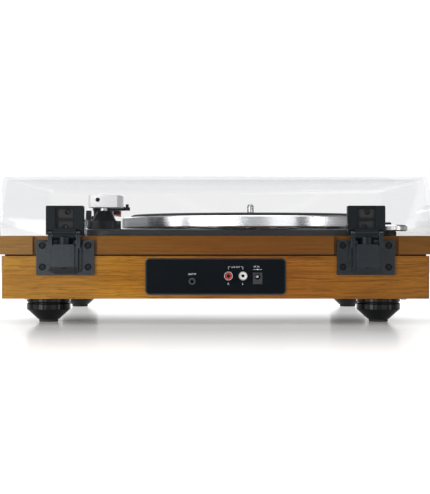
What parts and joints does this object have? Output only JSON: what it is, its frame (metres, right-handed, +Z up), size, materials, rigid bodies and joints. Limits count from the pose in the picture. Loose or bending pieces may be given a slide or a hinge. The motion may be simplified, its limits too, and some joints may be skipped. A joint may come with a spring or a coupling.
{
  "type": "turntable record player",
  "caption": "Belt-drive record player in a wooden plinth with a hinged clear dust cover, tonearm, rear sockets and round feet.",
  "frame": {"origin": "on the floor, under the middle of the overall box", "axes": "+X to the user's right, +Y to the rear where the hinges and sockets are, +Z up"},
  "size_m": [0.424, 0.377, 0.142],
  "materials": {
    "oak_body": "satin veneer, grain running level",
    "oak_deck": "satin lacquered board",
    "dark_board": "stained fibreboard",
    "gloss_black": "polished",
    "matte_black": "fine satin moulding",
    "grey_socket": "satin",
    "red_plastic": "gloss",
    "white_plastic": "gloss",
    "clear_cover": "clear polished acrylic",
    "soft_rubber": "matt",
    "polished_alloy": "turned and polished",
    "silver_housing": "silver paint",
    "bright_steel": "bright",
    "nickel": "nickel plated",
    "black_steel": "black oxide",
    "cone_cloth": "woven cloth and paper cone",
    "yellow_metal": "turned",
    "board_green": "solder mask",
    "board_black": "moulded"
  },
  "bodies": {
    "cabinet": {"plinth_sides": "oak_body", "plinth_back": "oak_body", "plinth_front": "oak_body", "inner_frame": "dark_board", "top_board": "oak_deck", "bottom_board": "dark_board", "feet": "gloss_black", "rubber_pads": "soft_rubber", "steel_screws": "bright_steel", "speaker_grilles": "black_steel", "speaker_cloths": "cone_cloth", "speakers": "bright_steel", "hinge_brackets": "matte_black", "hinge_springs": "bright_steel", "hinge_shoes": "matte_black", "black_screws": "black_steel", "axles": "bright_steel", "jack_panel": "matte_black", "jack_contacts": "nickel", "phono_insulator_red": "red_plastic", "phono_insulator_white": "white_plastic", "aux_socket": "matte_black", "power_socket": "grey_socket", "circuit_boards": "board_green", "board_parts": "board_black", "mechanism_panel": "gloss_black", "spindle_bearing": "bright_steel", "thrust_washer": "white_plastic", "spindle": "bright_steel", "spindle_clip": "bright_steel", "drive_motor": "bright_steel", "drive_belt": "soft_rubber", "adapter_post": "matte_black", "panel_controls": "matte_black", "switch_bodies": "matte_black", "tonearm_base": "matte_black", "lift_stand": "matte_black", "arm_rest": "matte_black"},
    "lid": {"dust_cover": "clear_cover", "hinge_arms": "matte_black"},
    "turntable": {"platter": "polished_alloy", "platter_bush": "yellow_metal", "record_mat": "soft_rubber"},
    "pulley": {"motor_pulley": "yellow_metal"},
    "arm_mount": {"yaw_shaft": "bright_steel", "pivot_housing": "silver_housing", "pivot_pins": "bright_steel"},
    "arm": {"arm_carrier": "matte_black", "arm_tube": "polished_alloy", "headshell": "matte_black", "cartridge": "matte_black", "stylus": "red_plastic"},
    "lift": {"lift_bar": "silver_housing"},
    "lever": {"cue_lever": "matte_black"},
    "adapter": {"single_adapter": "polished_alloy"},
    "volume": {"volume_knob": "polished_alloy"},
    "source": {"source_knob": "polished_alloy"},
    "speed": {"speed_slider": "matte_black"},
    "auto_stop": {"auto_stop_slider": "matte_black"}
  },
  "joints": [
    {"name": "lid_hinge", "type": "hinge", "parent": "cabinet", "child": "lid", "pos_m": [0, 0.181, 0.0853], "axis": [-1, 0, 0], "range_deg": [0, 65]},
    {"name": "platter_spin", "type": "hinge", "parent": "cabinet", "child": "turntable", "pos_m": [-0.0392, -0.017, 0.1008], "axis": [0, 0, -1], "continuous": true},
    {"name": "motor_spin", "type": "hinge", "parent": "cabinet", "child": "pulley", "pos_m": [-0.12405, 0.06785, 0.0968], "axis": [0, 0, -1], "continuous": true},
    {"name": "arm_yaw", "type": "hinge", "parent": "cabinet", "child": "arm_mount", "pos_m": [0.1143, 0.098, 0.1198], "axis": [0, 0, -1], "range_deg": [0, 42.5]},
    {"name": "arm_pitch", "type": "hinge", "parent": "arm_mount", "child": "arm", "pos_m": [0.1143, 0.098, 0.1198], "axis": [-0.9982, -0.0593, 0], "range_deg": [0, 3.2]},
    {"name": "arm_lift", "type": "slide", "parent": "cabinet", "child": "lift", "axis": [0, 0, 1], "range_m": [0, 0.00158]},
    {"name": "cue_lever_turn", "type": "hinge", "parent": "cabinet", "child": "lever", "pos_m": [0.13274, 0.07223, 0.0976], "axis": [-1, 0, 0], "range_deg": [0, 60.5]},
    {"name": "adapter_lift", "type": "slide", "parent": "cabinet", "child": "adapter", "axis": [0, 0, 1], "range_m": [0, 0.02]},
    {"name": "volume_turn", "type": "hinge", "parent": "cabinet", "child": "volume", "pos_m": [0.024, -0.18, 0.04495], "axis": [0, -1, 0], "range_deg": [-150, 150]},
    {"name": "source_turn", "type": "hinge", "parent": "cabinet", "child": "source", "pos_m": [-0.024, -0.18, 0.04495], "axis": [0, -1, 0], "range_deg": [-45, 45]},
    {"name": "speed_slide", "type": "slide", "parent": "cabinet", "child": "speed", "axis": [0, 1, 0], "range_m": [0, 0.009]},
    {"name": "auto_stop_slide", "type": "slide", "parent": "cabinet", "child": "auto_stop", "axis": [0, 1, 0], "range_m": [0, 0.009]}
  ],
  "couplings": [
    {"joint": "motor_spin", "follows": "platter_spin", "ratio": 15.833},
    {"joint": "arm_lift", "follows": "arm_pitch", "m_per_rad": 0.028},
    {"joint": "cue_lever_turn", "follows": "arm_pitch", "ratio": 18.75}
  ]
}
